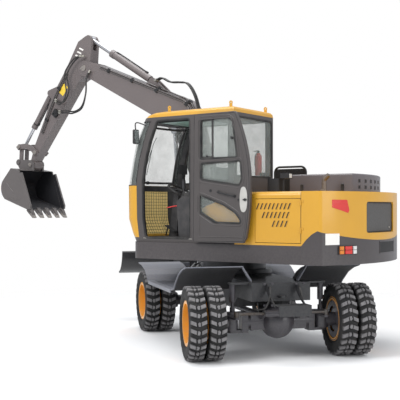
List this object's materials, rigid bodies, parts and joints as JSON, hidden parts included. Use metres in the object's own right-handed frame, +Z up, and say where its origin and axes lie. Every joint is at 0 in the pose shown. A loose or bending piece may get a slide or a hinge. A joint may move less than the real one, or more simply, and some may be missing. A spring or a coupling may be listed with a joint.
{
  "type": "wheeled excavator",
  "caption": "Compact wheeled excavator with an offset-free slewing upper, glazed cab, curved boom, arm with linked bucket, steered twin tyres and a rear dozer blade",
  "frame": {"origin": "The middle of the whole machine's bounding box as parked, at the height of the ground under the tyres.", "axes": "+X points to the steered axle's end of the chassis, +Y to the chassis' left, +Z up. The upper structure is parked slewed 140.25 degrees clockwise seen from above, so its boom points to -X and -Y."},
  "size_m": [6.485, 5.477, 4.8605],
  "materials": {
    "tyre": "black rubber, dusty on the tread",
    "rim_yellow": "orange-yellow gloss paint",
    "axle_dark": "dark grey chassis paint",
    "chassis_dark": "black-grey chassis paint",
    "fender_grey": "mid grey paint, worn",
    "body_yellow": "semi-gloss yellow paint",
    "body_grey": "dark warm grey paint",
    "boom_grey": "warm grey paint",
    "frame_grey": "grey cab paint",
    "rod_chrome": "polished hard chrome",
    "bucket_steel": "grey paint worn to steel at the edges",
    "black_metal": "matt black paint",
    "engine_block": "painted casting",
    "exhaust_steel": "heat-dulled steel",
    "cab_glass": "clear tinted glass",
    "seat_cloth": "dark woven upholstery",
    "cab_plastic": "dark grained plastic"
  },
  "bodies": {
    "chassis": {"chassis_frame": "chassis_dark", "slew_ring": "chassis_dark", "front_axle": "axle_dark", "rear_axle": "axle_dark", "steering_ram": "axle_dark", "axle_lock_cylinders": "axle_dark", "drive_shaft": "axle_dark", "left_fender": "fender_grey", "right_fender": "fender_grey", "front_step": "chassis_dark"},
    "left_knuckle": {"left_knuckle": "axle_dark"},
    "right_knuckle": {"right_knuckle": "axle_dark"},
    "steering_rod": {"steering_rod": "rod_chrome"},
    "front_left_wheel": {"front_left_tyres": "tyre", "front_left_rims": "rim_yellow"},
    "front_right_wheel": {"front_right_tyres": "tyre", "front_right_rims": "rim_yellow"},
    "rear_left_wheel": {"rear_left_tyres": "tyre", "rear_left_rims": "rim_yellow"},
    "rear_right_wheel": {"rear_right_tyres": "tyre", "rear_right_rims": "rim_yellow"},
    "dozer_blade": {"dozer_blade": "chassis_dark"},
    "blade_cylinder_barrel": {"blade_cylinder_barrel": "chassis_dark"},
    "blade_cylinder_rod": {"blade_cylinder_rod": "rod_chrome"},
    "service_door": {"service_door": "body_yellow"},
    "engine_hood": {"engine_hood": "body_grey"},
    "cab_door": {"cab_door": "frame_grey", "cab_door_glass": "cab_glass"},
    "boom": {"boom": "boom_grey"},
    "boom_cylinder_barrel": {"boom_cylinder_barrel": "body_grey"},
    "boom_cylinder_rod": {"boom_cylinder_rod": "rod_chrome"},
    "arm": {"arm": "boom_grey"},
    "arm_cylinder_barrel": {"arm_cylinder_barrel": "boom_grey"},
    "arm_cylinder_rod": {"arm_cylinder_rod": "rod_chrome"},
    "bucket": {"bucket": "bucket_steel"},
    "bucket_cylinder_barrel": {"bucket_cylinder_barrel": "boom_grey"},
    "bucket_cylinder_rod": {"bucket_cylinder_rod": "rod_chrome"},
    "bucket_rocker": {"bucket_rocker": "boom_grey"},
    "bucket_link": {"bucket_link": "boom_grey"},
    "upper_structure": {"body_shell": "body_yellow", "cab_controls": "cab_plastic", "cab_frame": "frame_grey", "cab_glass": "cab_glass", "cab_left_side": "frame_grey", "cab_nose_panel": "body_yellow", "cab_right_side": "frame_grey", "cab_roof": "body_yellow", "counterweight": "body_grey", "engine_block": "engine_block", "exhaust_pipe": "exhaust_steel", "hydraulic_tank": "body_yellow", "intake_box": "black_metal", "operator_seat": "seat_cloth", "rear_work_lamp": "black_metal", "revolving_frame": "body_grey", "tail_cowl": "body_yellow", "tank_guard": "black_metal", "tool_box": "body_yellow"}
  },
  "joints": [
    {"name": "swing", "type": "hinge", "parent": "chassis", "child": "upper_structure", "pos_m": [0.79253, 0.52188, 1.2], "axis": [0, 0, 1], "continuous": true},
    {"name": "steering_left", "type": "hinge", "parent": "chassis", "child": "left_knuckle", "pos_m": [2.59253, 1.14188, 0.47], "axis": [0, 0, 1], "range_deg": [-25, 30]},
    {"name": "steering_right", "type": "hinge", "parent": "chassis", "child": "right_knuckle", "pos_m": [2.59253, -0.09812, 0.47], "axis": [0, 0, 1], "range_deg": [-26, 31]},
    {"name": "steering_rod_slide", "type": "slide", "parent": "chassis", "child": "steering_rod", "axis": [0, 1, 0], "range_m": [-0.1062, 0.1267]},
    {"name": "front_left_wheel_spin", "type": "hinge", "parent": "left_knuckle", "child": "front_left_wheel", "pos_m": [2.62408, 1.5025, 0.47], "axis": [0.0872, 0.9962, 0], "continuous": true},
    {"name": "front_right_wheel_spin", "type": "hinge", "parent": "right_knuckle", "child": "front_right_wheel", "pos_m": [2.56098, -0.45875, 0.47], "axis": [0.0872, 0.9962, 0], "continuous": true},
    {"name": "rear_left_wheel_spin", "type": "hinge", "parent": "chassis", "child": "rear_left_wheel", "pos_m": [-0.20747, 1.50388, 0.47], "axis": [0, 1, 0], "continuous": true},
    {"name": "rear_right_wheel_spin", "type": "hinge", "parent": "chassis", "child": "rear_right_wheel", "pos_m": [-0.20747, -0.46012, 0.47], "axis": [0, 1, 0], "continuous": true},
    {"name": "blade_lift", "type": "hinge", "parent": "chassis", "child": "dozer_blade", "pos_m": [-0.65747, 0.52188, 0.62], "axis": [0, 1, 0], "range_deg": [-46, 0]},
    {"name": "blade_barrel_pivot", "type": "hinge", "parent": "chassis", "child": "blade_cylinder_barrel", "pos_m": [-0.69747, 0.52188, 0.88], "axis": [0, 1, 0], "range_deg": [-48.94, 0]},
    {"name": "blade_rod_slide", "type": "slide", "parent": "blade_cylinder_barrel", "child": "blade_cylinder_rod", "axis": [-0.9656, 0, 0.26], "range_m": [0, 0.2101]},
    {"name": "service_door_hinge", "type": "hinge", "parent": "upper_structure", "child": "service_door", "pos_m": [2.91647, 0.71584, 1.537], "axis": [0, 0, 1], "range_deg": [0, 80]},
    {"name": "engine_hood_hinge", "type": "hinge", "parent": "upper_structure", "child": "engine_hood", "pos_m": [1.68439, 1.26363, 2.1303], "axis": [0.6394, -0.7688, 0], "range_deg": [0, 60]},
    {"name": "cab_door_hinge", "type": "hinge", "parent": "upper_structure", "child": "cab_door", "pos_m": [1.65786, -0.33873, 2], "axis": [0, 0, 1], "range_deg": [-178, 0]},
    {"name": "boom_lift", "type": "hinge", "parent": "upper_structure", "child": "boom", "pos_m": [0.40061, 0.39102, 1.68], "axis": [-0.6394, 0.7688, 0], "range_deg": [-70, 14]},
    {"name": "boom_barrel_pivot", "type": "hinge", "parent": "upper_structure", "child": "boom_cylinder_barrel", "pos_m": [-0.0261, 0.03613, 1.5], "axis": [-0.6394, 0.7688, 0], "range_deg": [-78.83, 16.57]},
    {"name": "boom_rod_slide", "type": "slide", "parent": "boom_cylinder_barrel", "child": "boom_cylinder_rod", "axis": [-0.057, -0.0474, 0.9972], "range_m": [-0.656, 0.1344]},
    {"name": "arm_swing", "type": "hinge", "parent": "boom", "child": "arm", "pos_m": [-1.64453, -1.3099, 4.29765], "axis": [0.6394, -0.7688, 0], "range_deg": [-44, 54]},
    {"name": "arm_barrel_pivot", "type": "hinge", "parent": "boom", "child": "arm_cylinder_barrel", "pos_m": [-0.55235, -0.40155, 3.95478], "axis": [-0.6394, 0.7688, 0], "range_deg": [-8.52, 7.13]},
    {"name": "arm_rod_slide", "type": "slide", "parent": "arm_cylinder_barrel", "child": "arm_cylinder_rod", "axis": [-0.6531, -0.5432, 0.5277], "range_m": [-0.3205, 0.3925]},
    {"name": "bucket_curl", "type": "hinge", "parent": "arm", "child": "bucket", "pos_m": [-2.63621, -2.13468, 2.69914], "axis": [-0.6394, 0.7688, 0], "range_deg": [-88, 78]},
    {"name": "bucket_barrel_pivot", "type": "hinge", "parent": "arm", "child": "bucket_cylinder_barrel", "pos_m": [-2.32165, -1.87306, 3.95463], "axis": [-0.6394, 0.7688, 0], "range_deg": [-8.37, 7.53]},
    {"name": "bucket_rod_slide", "type": "slide", "parent": "bucket_cylinder_barrel", "child": "bucket_cylinder_rod", "axis": [-0.4588, -0.3816, -0.8024], "range_m": [-0.2967, 0.3342]},
    {"name": "rocker_pivot", "type": "hinge", "parent": "arm", "child": "bucket_rocker", "pos_m": [-2.54259, -2.05681, 2.91056], "axis": [-0.6394, 0.7688, 0], "range_deg": [-58.6, 52.05]},
    {"name": "link_pivot", "type": "hinge", "parent": "bucket_rocker", "child": "bucket_link", "pos_m": [-2.85458, -2.3163, 3.02267], "axis": [-0.6394, 0.7688, 0], "range_deg": [-44.68, 50.28]}
  ],
  "couplings": [
    {"joint": "steering_right", "follows": "steering_left", "ratio": 1},
    {"joint": "steering_rod_slide", "follows": "steering_left", "m_per_rad": 0.2343},
    {"joint": "blade_barrel_pivot", "follows": "blade_lift", "ratio": 1.0422},
    {"joint": "blade_rod_slide", "follows": "blade_lift", "m_per_rad": -0.2567},
    {"joint": "boom_barrel_pivot", "follows": "boom_lift", "ratio": 1.1119},
    {"joint": "boom_rod_slide", "follows": "boom_lift", "m_per_rad": 0.5337},
    {"joint": "arm_barrel_pivot", "follows": "arm_swing", "ratio": -0.1393},
    {"joint": "arm_rod_slide", "follows": "arm_swing", "m_per_rad": 0.4122},
    {"joint": "bucket_barrel_pivot", "follows": "bucket_curl", "ratio": 0.0837},
    {"joint": "bucket_rod_slide", "follows": "bucket_curl", "m_per_rad": -0.215},
    {"joint": "rocker_pivot", "follows": "bucket_curl", "ratio": 0.6545},
    {"joint": "link_pivot", "follows": "bucket_curl", "ratio": -0.56}
  ]
}
